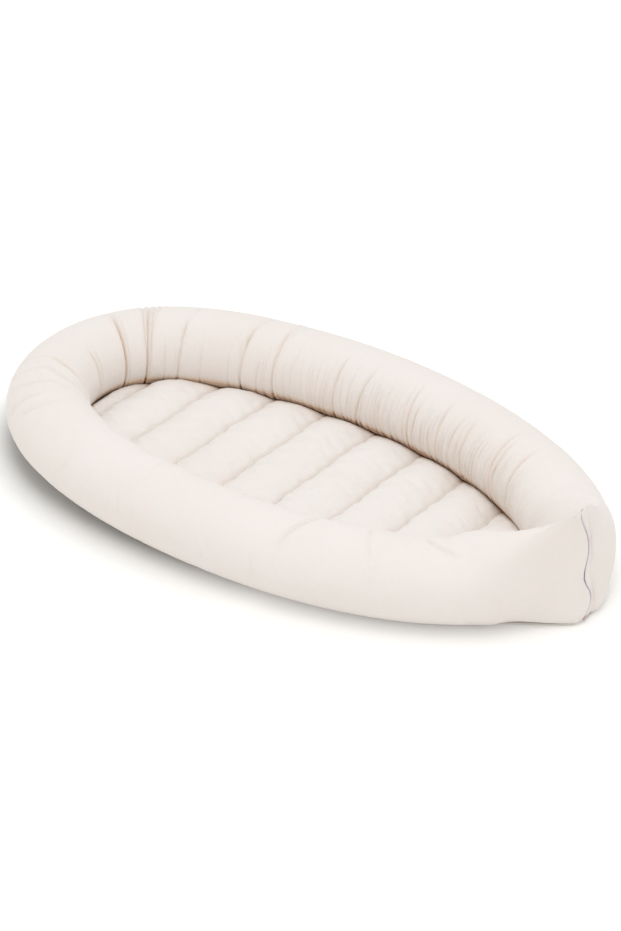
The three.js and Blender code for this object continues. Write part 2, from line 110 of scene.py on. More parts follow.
class Finish:
    """The nodes of a material or of the world."""

    def __init__(self, holder):
        holder.use_nodes = True
        self.holder = holder
        self.tree = holder.node_tree
        self.tree.nodes.clear()

    def node(self, kind, settings, inputs, output=0):
        node = self.tree.nodes.new(kind)
        for name, value in settings.items():
            if name == "stops":
                while len(node.color_ramp.elements) < len(value):
                    node.color_ramp.elements.new(0.5)
                for stop, (place, color) in zip(node.color_ramp.elements, value):
                    stop.position = place
                    stop.color = (*color, 1)
            else:
                setattr(node, name, value)
        for name, value in inputs.items():
            if isinstance(value, Socket):
                self.tree.links.new(value.output, node.inputs[name])
            else:
                node.inputs[name].default_value = value
        return Socket(self, node.outputs[output] if len(node.outputs) else None)

    def math(self, operation, *values):
        return self.node("ShaderNodeMath", {"operation": operation}, dict(enumerate(values)))

    def noise(self, place, scale, detail):
        return self.node("ShaderNodeTexNoise", {}, {"Vector": place, "Scale": scale, "Detail": detail}, "Fac")

    def blend(self, share, color, other_color):
        return self.node("ShaderNodeMix", {"data_type": "RGBA"}, {0: share, 6: color, 7: other_color}, 2)

    def camera_sees(self):
        """1 for rays that show this directly or in a reflection, and 0 for those that light things."""
        direct = self.node("ShaderNodeLightPath", {}, {}, "Is Camera Ray")
        glossy = self.node("ShaderNodeLightPath", {}, {}, "Is Glossy Ray")
        through = self.node("ShaderNodeLightPath", {}, {}, "Is Transmission Ray")
        return direct.math("MAXIMUM", glossy).math("MAXIMUM", through)


def placed(name, mesh):
    """A mesh as an object of the scene."""
    piece = bpy.data.objects.new(name, mesh)
    bpy.context.scene.collection.objects.link(piece)
    return piece


sky = Finish(bpy.data.worlds.new("studio sky"))
sky_light = sky.camera_sees() * (1 - sky_strength) + sky_strength
sky.node(
    "ShaderNodeOutputWorld", {},
    {"Surface": sky.node("ShaderNodeBackground", {}, {"Color": (1, 1, 1, 1), "Strength": sky_light})},
)
bpy.context.scene.world = sky.holder

lamp = bpy.data.objects.new("soft lamp", bpy.data.lights.new("soft lamp", "AREA"))
lamp.data.shape = "DISK"
lamp.data.size = lamp_size
lamp.data.energy = lamp_power
lamp.location = lamp_place
lamp.rotation_euler = (-lamp_place).to_track_quat("-Z", "Y").to_euler()
bpy.context.scene.collection.objects.link(lamp)

floor_shape = bmesh.new()
bmesh.ops.create_grid(floor_shape, x_segments=1, y_segments=1, size=floor_size / 2)
floor = placed("floor", bpy.data.meshes.new("floor"))
floor_shape.to_mesh(floor.data)
floor_shape.free()
paper = Finish(bpy.data.materials.new("floor paper"))
paper_place = paper.node("ShaderNodeTexCoord", {}, {}, "Object")
paper_along = paper.node("ShaderNodeSeparateXYZ", {}, {"Vector": paper_place}, "X")
# Painted shadow: the floor's colour, as the camera sees it, darkens where the lounger hides it close by.
paper_open = paper.node("ShaderNodeAmbientOcclusion", {"samples": 12}, {"Distance": shadow_depth}, "AO")
paper_side = ((shadow_foot - paper_along) * shadow_slope).math("MAXIMUM", shadow_least).math("MINIMUM", 1)
paper_shade = (1 - paper_open).math("POWER", shadow_curve) * paper_side * shadow_gain
paper_shade = paper_shade.math("MINIMUM", 1)
paper_seen = paper.blend(paper_shade, floor_color, floor_shadow)
paper_color = paper.blend(paper.camera_sees(), floor_bounce, paper_seen)
paper_diffuse = paper.node("ShaderNodeBsdfDiffuse", {}, {"Color": paper_color})
paper_glow = paper.node(
    "ShaderNodeEmission", {},
    {"Color": (1, 1, 1, 1), "Strength": paper.camera_sees() * (1 - paper_shade) * floor_lift},
)
paper_top = paper.node("ShaderNodeAddShader", {}, {0: paper_diffuse, 1: paper_glow})
paper_back = paper.node("ShaderNodeNewGeometry", {}, {}, "Backfacing")
paper_clear = paper.node("ShaderNodeBsdfTransparent", {}, {})
paper.node(
    "ShaderNodeOutputMaterial", {},
    {"Surface": paper.node("ShaderNodeMixShader", {}, {0: paper_back, 1: paper_top, 2: paper_clear})},
)
floor.data.materials.append(paper.holder)
floor.location.z = -floor_gap

bpy.context.scene.view_settings.view_transform = "Standard"

# The bolster: one long tube of plain-woven cream cotton, stuffed with fibre, bent into a ring and sewn to the
# pad along its inner side. Its two ends meet at the foot in one tall flat seam, like the end of a pillow, and
# bending gathers the cloth on the inside of the ring.
tube_half_width = 0.054
tube_half_height = 0.0525
tube_sag = 0.0043
on_sole = 0.0018
foot_half_width = 0.064
foot_height = 0.152
foot_lean = 0.016
head_x = -0.3912
widest_x = -0.0252
half_width = 0.1935
foot_x = 0.3778
foot_y = -0.0260
zip_y = -0.0210
head_round = {"across": 0.66, "along": 0.59}
near_foot = {"leave": 0.52, "arrive": 0.55, "angle": 58, "straight": 0.010, "waist": 0.008, "lean": 0}
far_foot = {"leave": 0.73, "arrive": 0.33, "angle": 134, "straight": 0.018, "waist": 0, "lean": 0.020}
near_reach = {"rise": 0.110, "steepness": 1.4, "ridge": 0.090, "base": 0.062}
far_reach = {"rise": 0.100, "steepness": 1.3, "ridge": 0.078, "base": 0.100}
square_reach = 0.070
soft_end = 0.010
waist_reach = 0.055
lean_reach = 0.110
face_power = 12
slope_power = 0.95
corner_power = 16
square_from = -0.2
steps_along = 1000
columns_along = 1260
steps_round = 64

axis_height = on_sole + tube_half_height - tube_sag


def smooth_step(low, high, value):
    share = np.clip((value - low) / (high - low), 0, 1)
    return share * share * (3 - 2 * share)


def fading(distance, reach):
    """1 at no distance, dying away past the reach."""
    return np.exp(-((distance / reach) ** 2))


def half_ring(side, foot, reach_of):
    """Half of the centre line, from the head to the foot seam, as rows of what the section needs there."""
    wide = side * half_width
    angle = math.radians(foot["angle"])
    reach = foot["arrive"] * half_width
    end = Vector((foot_x, foot_y + side * foot["straight"]))
    widest = Vector((widest_x, wide))
    head_handles = (
        Vector((head_x, head_round["across"] * wide)),
        Vector((widest_x + head_round["along"] * (head_x - widest_x), wide)),
    )
    foot_handles = (
        Vector((widest_x + foot["leave"] * (foot_x - widest_x), wide)),
        end + reach * Vector((-math.cos(angle), side * math.sin(angle))),
    )
    line = interpolate_bezier(Vector((head_x, 0)), *head_handles, widest, steps_along)
    line += interpolate_bezier(widest, *foot_handles, end, steps_along)[1:]
    line = np.array(line)[:, :2]
    run = np.concatenate([[0], np.cumsum(np.hypot(*np.diff(line, axis=0).T))])
    along = np.linspace(0, run[-1], steps_along)
    place = np.stack([np.interp(along, run, line[:, k]) for k in (0, 1)], 1)
    heading = np.gradient(place, axis=0)
    heading /= np.linalg.norm(heading, axis=1)[:, None]
    to_seam = run[-1] - along
    soft_distance = np.hypot(to_seam, soft_end) - soft_end
    facing = np.clip(1 - soft_distance / square_reach, 0, 1)
    out = side * np.stack([-heading[:, 1], heading[:, 0]], 1) * (1 - facing)[:, None]
    out[:, 0] += facing
    out /= np.linalg.norm(out, axis=1)[:, None]
    rise = np.clip(1 - soft_distance / reach_of["rise"], 0, 1) ** reach_of["steepness"]
    ridge = smooth_step(reach_of["ridge"], 0, to_seam)
    base = smooth_step(reach_of["base"], 0, to_seam)
    drawn = np.clip(1 - soft_distance / waist_reach, 0, 1)
    waist = foot["waist"] * 4 * drawn * (1 - drawn)
    leaning = np.clip(1 - soft_distance / lean_reach, 0, 1)
    lean = foot["lean"] * 4 * leaning * (1 - leaning)
    return np.column_stack([side * along, place, out, facing, rise, ridge, base, waist, lean])


# Rows of: distance from the head (near side negative), place, way out, how far it faces the foot, how far
# its crown has climbed and moved out to a ridge, how far its outer face comes straight down, its waist and
# its lean.
near_half = half_ring(-1, near_foot, near_reach)
far_half = half_ring(1, far_foot, far_reach)
near_end = near_half[-1, 0] - (zip_y - foot_y + near_foot["straight"])
far_end = far_half[-1, 0] + (foot_y + far_foot["straight"] - zip_y)
at_zip = [foot_x, zip_y, 1, 0, 1, 1, 1, 1, 0, 0]
ring_rows = np.vstack([[near_end, *at_zip], near_half[:0:-1], far_half, [far_end, *at_zip]])


def outer_reach(facing, waist):
    return tube_half_width + (foot_half_width - tube_half_width) * facing - waist


def ring_surface(along, turn, inset=0.0):
    """Points of the ring, from a distance along it from the head and a turn round its section from the outer
    side."""
    along, turn = np.broadcast_arrays(np.asarray(along, float), np.asarray(turn, float))
    x, y, out_x, out_y, facing, rise, ridge, base, waist, lean = (
        np.interp(along, ring_rows[:, 0], ring_rows[:, k]) for k in range(1, 11)
    )
    across, up = np.cos(turn), np.sin(turn)
    outer = outer_reach(facing, waist) - inset
    inner = tube_half_width - inset
    reach = np.where(across > 0, outer, inner)
    low = on_sole + inset

    crown = axis_height + tube_half_height
    crown += (foot_height - crown) * rise - inset * (1 + ridge)
    power = 2 + (np.where(across > 0, face_power, slope_power) - 2) * ridge
    share_out = np.where(across > 0, (1 - np.abs(up) ** power) ** (1 / power), np.abs(across))
    share_up = np.where(across > 0, np.abs(up), (1 - np.abs(across) ** power) ** (1 / power))
    upper_out = ridge * outer + (np.sign(across) * reach - ridge * outer) * share_out
    upper_height = axis_height + (crown - axis_height) * share_up

    corner = (np.abs(across) ** corner_power + np.abs(up) ** corner_power) ** (1 / corner_power)
    square = np.where(across > square_from, base, 0)
    lower_out = reach * across * (1 + square * (1 / corner - 1))
    round_height = np.maximum(axis_height + (tube_half_height - inset) * up, low)
    square_height = np.maximum(axis_height + (axis_height - low) * up / corner, low)
    lower_height = round_height + (square_height - round_height) * square

    distance = np.where(up > 0, upper_out, lower_out)
    height = np.where(up > 0, upper_height, lower_height)
    share_high = height / foot_height
    lean_in = foot_lean * ridge * share_high + lean * share_high**3
    distance = distance - lean_in * np.maximum(distance, 0) / outer
    return np.stack([x + out_x * distance, y + out_y * distance, height], -1)


def grid_piece(columns, rows, size, surface):
    """A flat grid of cloth, laid onto a surface. Its UV map, cloth, is in metres of cloth, and each vertex
    keeps its shares of the grid's length and height."""
    shape = bmesh.new()
    bmesh.ops.create_grid(shape, x_segments=columns, y_segments=rows, size=0.5)
    layer = shape.loops.layers.uv.new("cloth")
    for face in shape.faces:
        for loop in face.loops:
            loop[layer].uv = ((loop.vert.co.x + 0.5) * size[0], (loop.vert.co.y + 0.5) * size[1])
    share_along = shape.verts.layers.float.new("share_along")
    share_round = shape.verts.layers.float.new("share_round")
    flat = np.array([vert.co[:2] for vert in shape.verts]) + 0.5
    for vert, shares, point in zip(shape.verts, flat, surface(flat[:, 0], flat[:, 1])):
        vert[share_along], vert[share_round] = shares
        vert.co = point
    return shape


def closed(shape, reach=1e-6):
    """Joins the edges of a grid that meet, with its faces looking outwards."""
    bmesh.ops.remove_doubles(shape, verts=shape.verts, dist=reach)
    bmesh.ops.recalc_face_normals(shape, faces=shape.faces)
    return shape


def finished(name, shape):
    """A bmesh as a smooth-shaded object."""
    mesh = bpy.data.meshes.new(name)
    shape.to_mesh(mesh)
    shape.free()
    mesh.shade_smooth()
    return placed(name, mesh)


def read(piece, name):
    """A value that each vertex keeps, or its place, as an array."""
    mesh = piece.data
    if name == "place":
        values = np.empty(len(mesh.vertices) * 3, np.float32)
        mesh.vertices.foreach_get("co", values)
        return values.reshape(-1, 3).astype(float)
    values = np.empty(len(mesh.vertices), np.float32)
    mesh.attributes[name].data.foreach_get("value", values)
    return values.astype(float)


def mark(piece, name, values):
    piece.data.attributes.new(name, "FLOAT", "POINT").data.foreach_set("value", values.astype(np.float32))


def declared(piece, body, nodes):
    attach(piece, body)
    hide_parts(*nodes)


def puffed(piece, sewn, ease, cap, even, dent, growth, pressure=4, frames=20):
    """Blows a closed cloth up from inside, held where it is sewn. Its move is eased off where ease is below
    1, and the even part, by which nearly all of it swells, is taken back. No point moves further than the
    cap, or further in than the dent, where the stuffing holds it."""
    group = piece.vertex_groups.new(name="sewn")
    for index, weight in enumerate(sewn):
        if weight > 0:
            group.add([index], float(weight), "REPLACE")
    rest = read(piece, "place")
    cloth = piece.modifiers.new("cloth", "CLOTH")
    cloth.settings.vertex_group_mass = "sewn"
    cloth.settings.quality = 5
    cloth.settings.mass = 0.15
    cloth.settings.tension_stiffness = 15
    cloth.settings.compression_stiffness = 15
    cloth.settings.shear_stiffness = 5
    cloth.settings.bending_stiffness = 0.05
    cloth.settings.air_damping = 1
    cloth.settings.shrink_min = -growth
    cloth.settings.use_pressure = True
    cloth.settings.uniform_pressure_force = pressure
    cloth.settings.effector_weights.gravity = 0
    cloth.collision_settings.use_collision = False
    cloth.point_cache.frame_start = 1
    cloth.point_cache.frame_end = frames
    for moment in range(1, frames + 1):
        bpy.context.scene.frame_set(moment)
    moved = np.empty(len(rest) * 3, np.float32)
    shown = piece.evaluated_get(bpy.context.evaluated_depsgraph_get())
    shown.data.vertices.foreach_get("co", moved)
    piece.modifiers.remove(cloth)
    shift = moved.reshape(-1, 3) - rest
    length = np.linalg.norm(shift, axis=1)
    kept = ease * (cap * np.tanh(length / cap) - even * np.tanh(length / even))
    shift *= (kept / np.maximum(length, 1e-9))[:, None]
    normals = np.empty(len(rest) * 3, np.float32)
    piece.data.vertices.foreach_get("normal", normals)
    normals = normals.reshape(-1, 3)
    inward = np.maximum(-np.sum(shift * normals, axis=1), 0)
    shift += normals * (inward - dent * np.tanh(inward / dent))[:, None]
    piece.data.vertices.foreach_set("co", (rest + shift).ravel())
    piece.data.update()


# How strongly the inner side is gathered at distances along the ring
gather_places = [
    (-0.8, 0.6), (-0.3, 0.5), (-0.1, 0.2), (0.12, 0.15), (0.30, 0.35), (0.45, 0.9), (0.80, 1), (0.88, 0.2),
]

# Folds, each from one turn of the section to another, with its places on the ring at both: turns in degrees,
# places and sizes in metres. The deep ones are where the head's far corner bunches.
folds = [
    (58, 224, 0.069, 0.052, 0.0045, 0.0024),
    (66, 222, 0.076, 0.060, 0.0016, 0.0018),
    (40, 150, 0.112, 0.103, 0.0032, 0.0018),
    (46, 224, 0.120, 0.098, 0.0045, 0.0021),
    (42, 200, 0.129, 0.106, 0.0028, 0.0018),
    (44, 120, 0.138, 0.120, 0.0018, 0.0018),
    (120, 215, -0.010, -0.026, 0.0030, 0.0026),
    (125, 205, 0.000, -0.014, 0.0018, 0.0022),
    (80, 175, -0.058, -0.110, 0.0030, 0.0040),
    (70, 130, -0.072, -0.132, 0.0016, 0.0026),
    (64, 115, -0.090, -0.152, 0.0012, 0.0024),
    (60, 105, -0.104, -0.172, 0.0010, 0.0022),
    (78, 223, 0.176, 0.155, 0.0022, 0.0019),
    (60, 130, 0.186, 0.170, 0.0012, 0.0018),
    (62, 223, 0.274, 0.261, 0.0024, 0.0018),
    (55, 130, 0.284, 0.268, 0.0012, 0.0016),
    (62, 224, 0.322, 0.315, 0.0028, 0.0021),
    (58, 135, 0.334, 0.322, 0.0012, 0.0016),
    (95, 222, 0.422, 0.418, 0.0024, 0.0019),
    (105, 222, 0.471, 0.455, 0.0024, 0.0019),
    (98, 222, 0.546, 0.555, 0.0026, 0.0020),
    (98, 222, 0.605, 0.611, 0.0026, 0.0020),
    (105, 222, 0.655, 0.664, 0.0022, 0.0019),
    (82, 222, 0.716, 0.737, 0.0030, 0.0022),
    (86, 222, 0.727, 0.746, 0.0024, 0.0019),
    (80, 222, 0.762, 0.785, 0.0028, 0.0022),
    (22, 88, -0.062, -0.066, 0.0020, 0.0020),
    (14, 76, -0.083, -0.093, 0.0024, 0.0024),
    (20, 90, -0.108, -0.126, 0.0022, 0.0022),
    (12, 70, -0.136, -0.152, 0.0024, 0.0026),
    (30, 84, -0.164, -0.184, 0.0020, 0.0024),
    (50, 110, -0.600, -0.626, 0.0022, 0.0028),
    (45, 105, -0.710, -0.700, 0.0022, 0.0028),
    (60, 100, -0.812, -0.772, 0.0024, 0.0028),
]

# The finer folds come in runs, each from one distance along the ring to another, at a mean spacing.
gather_random = np.random.default_rng(5)
gather_runs = [(0.14, 0.30, 0.03), (0.30, 0.46, 0.011), (0.46, 0.80, 0.0058), (-0.80, -0.30, 0.012)]
for run_start, run_end, spacing in gather_runs:
    place = run_start
    while place < run_end:
        top = gather_random.uniform(105, 150)
        slant = gather_random.normal(0, 0.006)
        depth = gather_random.uniform(0.0006, 0.0016)
        width = gather_random.uniform(0.0011, 0.0019)
        folds.append((top, 224, place, place + slant, depth, width))
        place += spacing * gather_random.uniform(0.5, 1.5)


fold_span = 5
fold_lead = 6
fold_fade = 0.3
fold_end_before = 2
fold_end_past = 14
rim_height = 0.32
rim_place = 2.2
rim_width = 1.1


def fold_depth(along, turn):
    """How far the cloth sinks at each place, in metres. A fold has a low rim on either side."""
    depth = np.zeros_like(along)
    degrees = np.degrees(turn)
    for start, end, place, end_place, deepest, width in folds:
        share = np.clip((degrees - start) / (end - start), 0, 1)
        middle = place + (end_place - place) * share
        near = np.abs(along - middle) < fold_span * width
        gap = np.abs(along[near] - middle[near]) / width
        opening = smooth_step(start - fold_lead, start + fold_fade * (end - start), degrees[near])
        closing = smooth_step(end - fold_end_before, end + fold_end_past, degrees[near])
        rim = rim_height * fading(gap - rim_place, rim_width)
        depth[near] += deepest * (opening * (1 - closing)) * (np.exp(-(gap**1.5)) - rim)
    return depth


# The slit: where it is in the foot seam, how its lips wander to either side of the straight zip, and how far
# apart they stand, at heights of the seam.
slit_bottom = 0.024
slit_top = 0.140
slit_foot = -0.007
slit_waves = [(0, 0.026, 0.017), (0.030, 0.062, -0.013), (0.062, 0.096, 0.013), (0.104, 0.152, -0.014)]
slit_bottom_fade = 0.006
slit_top_fade = 0.03
lips_apart = 0.0003
wide_spot = {"gap": 0.0013, "height": 0.064, "reach": 0.009}
lip_bulge = {"far": 0.001, "reach": 0.014}
lip_rise = {"out": 0.0022, "reach": 0.008}
lip_crease = {"in": 0.0010, "reach": 0.0018}
wave_reach = 0.012
gap_reach = 0.003
front_top = (0.08, 0.3)
front_bottom = (0.55, 0.8)


def slit_gap(height):
    bottom = smooth_step(slit_bottom, slit_bottom + slit_bottom_fade, height)
    top = smooth_step(slit_top, slit_top - slit_top_fade, height)
    wider = wide_spot["gap"] * fading(height - wide_spot["height"], wide_spot["reach"])
    return bottom * top * (lips_apart + wider)


def stands_out(turn):
    """1 where the section stands upright at the foot, and 0 above and below."""
    across = np.cos(turn)
    return np.where(turn > 0, smooth_step(*front_top, across), smooth_step(*front_bottom, across))


def slit_wave(height):
    return slit_foot + sum(shift * smooth_step(low, high, height) for low, high, shift in slit_waves)


# Shares of the grid's columns that have passed at distances along the ring
column_shares = [
    (0, near_end), (0.06, near_end + 0.06), (0.30, -0.16), (0.55, 0.20), (0.66, 0.40), (0.90, 0.80),
    (0.94, far_end - 0.06), (1, far_end),
]


def bolster_places(share_along, share_round):
    """Distance along the ring and turn of the section. The columns lie closest where the cloth folds."""
    along = np.interp(share_along, *zip(*column_shares))
    return along, (share_round * 360 - 90) * math.pi / 180


def distance_to_zip(along):
    return np.minimum(along - near_end, far_end - along)


def bolster_surface(share_along, share_round, inset=0.0):
    """The stuffed ring with its folds. The cloth starts at the zip and runs round by the near side."""
    along, turn = bolster_places(share_along, share_round)
    base = ring_surface(along, turn, inset)
    step = 1e-4
    tangent = ring_surface(along + step, turn) - ring_surface(along - step, turn)
    girth = ring_surface(along, turn + step) - ring_surface(along, turn - step)
    inward = np.cross(tangent, girth)
    inward /= np.maximum(np.linalg.norm(inward, axis=1), 1e-12)[:, None]
    base += inward * fold_depth(along, turn)[:, None]
    to_zip = distance_to_zip(along)
    front = stands_out(turn)
    height = base[:, 2]
    side = np.where(share_along < 0.5, -1, 1)
    bulge = np.where(share_along < 0.5, 0, lip_bulge["far"]) * fading(to_zip, lip_bulge["reach"])
    crease = lip_crease["in"] * fading(to_zip, lip_crease["reach"])
    lips_out = lip_rise["out"] * fading(to_zip, lip_rise["reach"]) - crease
    base[:, 0] += front * (bulge + lips_out)
    base[:, 1] += front * slit_wave(height) * fading(to_zip, wave_reach)
    base[:, 1] += front * side * slit_gap(height) / 2 * fading(to_zip, gap_reach)
    base[:, 2] = np.maximum(base[:, 2], on_sole + inset)
    return base


pad_degrees = 223
pad_seam_degrees = 4
floor_reach = 0.003
seam_reach = 0.010
ease_reach = 0.045
deepest_fold = 0.0045
cloth_size = (float(far_end - near_end), 2 * math.pi * tube_half_width)
bolster = finished("bolster", closed(grid_piece(columns_along, steps_round, cloth_size, bolster_surface)))
along, turn = bolster_places(read(bolster, "share_along"), read(bolster, "share_round"))
degrees = np.degrees(turn)
to_zip = distance_to_zip(along)
on_floor = read(bolster, "place")[:, 2] < floor_reach
by_pad = np.abs(degrees - pad_degrees) < pad_seam_degrees
sewn = on_floor | by_pad | (to_zip < seam_reach)
ease = smooth_step(seam_reach, ease_reach, to_zip)
puffed(bolster, sewn, ease, cap=0.009, even=0.0035, dent=0.0025, growth=0.04)

# Painted shade, where cloth lies deep: in the folds, along the pad, in the slit's crease and low inside.
above_pad = 1 - smooth_step(228, 240, degrees)
contact = smooth_step(196, 207, degrees) * above_pad
fold_shade = np.clip(fold_depth(along, turn) / deepest_fold, 0, 1) ** 1.3 * smooth_step(70, 130, degrees)
by_seam = fading(to_zip, 0.0016) * smooth_step(0.10, 0.25, np.cos(turn))
by_seam *= smooth_step(0.012, 0.024, read(bolster, "place")[:, 2])
low_inside = smooth_step(150, 215, degrees) * above_pad * smooth_step(0.25, 0.5, along)
mark(bolster, "recess", 0.6 * fold_shade + 0.62 * contact**2 + 0.18 * by_seam + 0.10 * low_inside)
inner_side = smooth_step(105, 160, degrees) * (1 - smooth_step(232, 240, degrees))
mark(bolster, "gather", inner_side * np.interp(along, *zip(*gather_places)))

# The cloth is turned in at the slit, in a narrow hem that slopes a little further in.
hem_depth = 0.0012
hem_width = 0.006
hem_slope = 0.0003
lip_width = 0.0022
lips = bmesh.new()
lips.from_mesh(bolster.data)
edges = [edge for edge in lips.edges if edge.is_boundary]
# The lips along the slit and the turned-in hem take the darker lilac cotton, as painted shade of the seam.
for face in lips.faces:
    if all(to_zip[vert.index] < lip_width and slit_bottom < vert.co.z < slit_top for vert in face.verts):
        face.material_index = 1
for inward, aside in [(hem_depth, 0), (hem_slope, hem_width)]:
    turned = bmesh.ops.extrude_edge_only(lips, edges=edges)["geom"]
    edges = [item for item in turned if isinstance(item, bmesh.types.BMEdge) and item.is_boundary]
    for vert in {vert for edge in edges for vert in edge.verts}:
        side = math.copysign(1, vert.co.y - zip_y - slit_wave(vert.co.z))
        vert.co.x -= inward
        vert.co.y += side * aside
    for face in {face for edge in edges for face in edge.link_faces}:
        face.material_index = 1
lips.to_mesh(bolster.data)
lips.free()
declared(bolster, "lounger", ["bolster_cover"])


gather_stretch = (230, 9, 1)
gather_relief = 0.0032
# Painted shade and light along the gathers: darker in their hollows and lighter on their crests.
painted_gather_shade = 0.4
gather_level = 0.6
crumple_relief = 0.0012
patch_tint = 0.16
slub_tint = 0.08
plain_level = 0.86


class Tone:
    """Colours of a cloth: deep in its folds and in their shade, both painted shade, and in the open, where it
    has two casts.
    """

    def __init__(self, deep, shade, light, other_light=None):
        self.stops = [(0, deep), (0.5, shade), (1, light)]
        self.other_stops = [(0, deep), (0.5, shade), (1, other_light or light)]


def cloth(name, tone, thread, relief, sewn=True):
    """A plain weave, with threads of the given width. A sewn cloth takes painted shade from an attribute of
    its mesh, and is drawn into fine gathers by its gather attribute, with painted shade and light along them."""
    finish = Finish(bpy.data.materials.new(name))
    place = finish.node("ShaderNodeTexCoord", {}, {}, "Object")
    weave_place = finish.node("ShaderNodeUVMap", {"uv_map": "cloth"}, {})
    parts = [
        finish.node("ShaderNodeSeparateXYZ", {}, {"Vector": weave_place}, axis) * (math.pi / thread)
        for axis in ("X", "Y")
    ]
    weft, warp = (part.math("SINE") for part in parts)
    slub = finish.noise(weave_place, 260.0, 3.0)
    patch = finish.noise(place, 9.0, 3.0)
    cast = finish.noise(place, 70.0, 2.0)
    crumple = finish.noise(place, 38.0, 3.0)
    level = patch * patch_tint + slub * slub_tint + plain_level
    relief_height = warp * weft * relief + slub * relief + crumple * crumple_relief
    if sewn:
        # Painted shade carried by the mesh darkens the colour.
        level = level - finish.node("ShaderNodeAttribute", {"attribute_name": "recess"}, {}, "Fac")
        drawn = finish.node("ShaderNodeAttribute", {"attribute_name": "gather"}, {}, "Fac")
        stretched = finish.node(
            "ShaderNodeVectorMath", {"operation": "MULTIPLY"}, {0: weave_place, 1: gather_stretch}
        )
        lines = finish.noise(stretched, 1.0, 2.5)
        relief_height = relief_height + lines * drawn * gather_relief
        # Painted shade and light along the gathers.
        level = level - (gather_level - lines) * drawn * painted_gather_shade
    color = finish.node("ShaderNodeValToRGB", {"stops": tone.stops}, {"Fac": level})
    other_color = finish.node("ShaderNodeValToRGB", {"stops": tone.other_stops}, {"Fac": level})
    mixed = finish.blend(cast * 3 - 1, color, other_color)
    bump = finish.node("ShaderNodeBump", {}, {"Height": relief_height, "Distance": 1.0, "Strength": 1.0})
    shader = finish.node(
        "ShaderNodeBsdfPrincipled", {},
        {
            "Base Color": mixed,
            "Roughness": slub * 0.15 + 0.82,
            "Sheen Weight": 0.2,
            "Sheen Roughness": 0.5,
            "Specular IOR Level": 0.25,
            "Normal": bump,
        },
    )
    finish.node("ShaderNodeOutputMaterial", {}, {"Surface": shader})
    return finish.holder


# Its deep and shade colours are the painted shade in folds and crevices.
cream = cloth(
    "cream cotton",
    Tone((0.42, 0.18, 0.070), (0.77, 0.63, 0.50), (0.865, 0.800, 0.770), (0.850, 0.810, 0.765)),
    thread=0.0005,
    relief=0.00003,
)
# Painted shade of the seam: a darker lilac for the lips and the hem.
painted_lip_shade = cloth(
    "lip cotton",
    Tone((0.36, 0.28, 0.31), (0.66, 0.57, 0.61), (0.81, 0.73, 0.77)),
    thread=0.0005,
    relief=0.00003,
    sewn=False,
)
bolster.data.materials.append(cream)
bolster.data.materials.append(painted_lip_shade)

# The bolster's stuffing: one long roll of white wadding that fills the cover. It lies loose in the cover, and
# is drawn in behind the zip to leave room for the slider.
filling_gap = 0.004
zip_pocket = 0.0090
pocket_start = 0.014
pocket_end = 0.03
wadding_reach = 0.0015


def filling_surface(share_along, share_round):
    base = bolster_surface(share_along, share_round, filling_gap)
    along, turn = bolster_places(share_along, share_round)
    behind_zip = 1 - smooth_step(pocket_start, pocket_end, distance_to_zip(along))
    base[:, 0] -= stands_out(turn) * zip_pocket * behind_zip
    return base


filling_shape = closed(grid_piece(320, 36, cloth_size, filling_surface), wadding_reach)
filling = finished("bolster_wadding", filling_shape)
declared(filling, "lounger", ["bolster_filling"])
wadding = cloth(
    "white wadding",
    Tone((0.7, 0.7, 0.7), (0.8, 0.8, 0.79), (0.88, 0.88, 0.87)),
    thread=0.004,
    relief=0.0004,
    sewn=False,
)
filling.data.materials.append(wadding)

# The pad: two cotton cloths quilted together by eight seams across, with a roll of wadding in each channel.
# Its edge is sewn to the bolster all round, along the ring's inner side.
pad_turn = math.radians(pad_degrees)
pad_edge_gap = 0.0009
pad_end_inset = 0.004
pad_seam_height = 0.0133
pad_crown = 0.031
head_crown = 0.022
head_channel = 0.027
channel_pitch = 0.080
channel_seams = 8
pad_rows = 110
pad_column_width = 0.0023
fewest_columns = 8
edge_rise = 2.5
arch_power = 0.5
side_powers = (6, 0.6)
back_gap = 0.0005
back_swell = 1.6


def outline_of(turn_of_edge, inset):
    """A line along the ring's inner or under side, seen from above: its near half and its far half."""
    line = ring_surface(ring_rows[:, 0], turn_of_edge)[:, :2] - ring_rows[:, 3:5] * inset
    near = line[ring_rows[:, 0] <= 0][::-1]
    far = line[ring_rows[:, 0] >= 0]
    return [np.column_stack([np.maximum.accumulate(half[:, 0]), half[:, 1]]) for half in (near, far)]


pad_near, pad_far = outline_of(pad_turn, pad_edge_gap)
pad_start = pad_near[0, 0] + pad_end_inset
pad_end = min(pad_near[-1, 0], pad_far[-1, 0]) - pad_end_inset
channel_seam_places = pad_start + head_channel + channel_pitch * np.arange(channel_seams)
channel_ends = np.concatenate([[pad_start], channel_seam_places, [pad_end]])
channel_columns = [
    np.linspace(start, end, max(fewest_columns, round((end - start) / pad_column_width)) + 1)[:-1]
    for start, end in zip(channel_ends, channel_ends[1:])
]
pad_columns = np.concatenate([*channel_columns, [pad_end]])
pad_loop = np.vstack([pad_near, pad_far[::-1]])[::6]


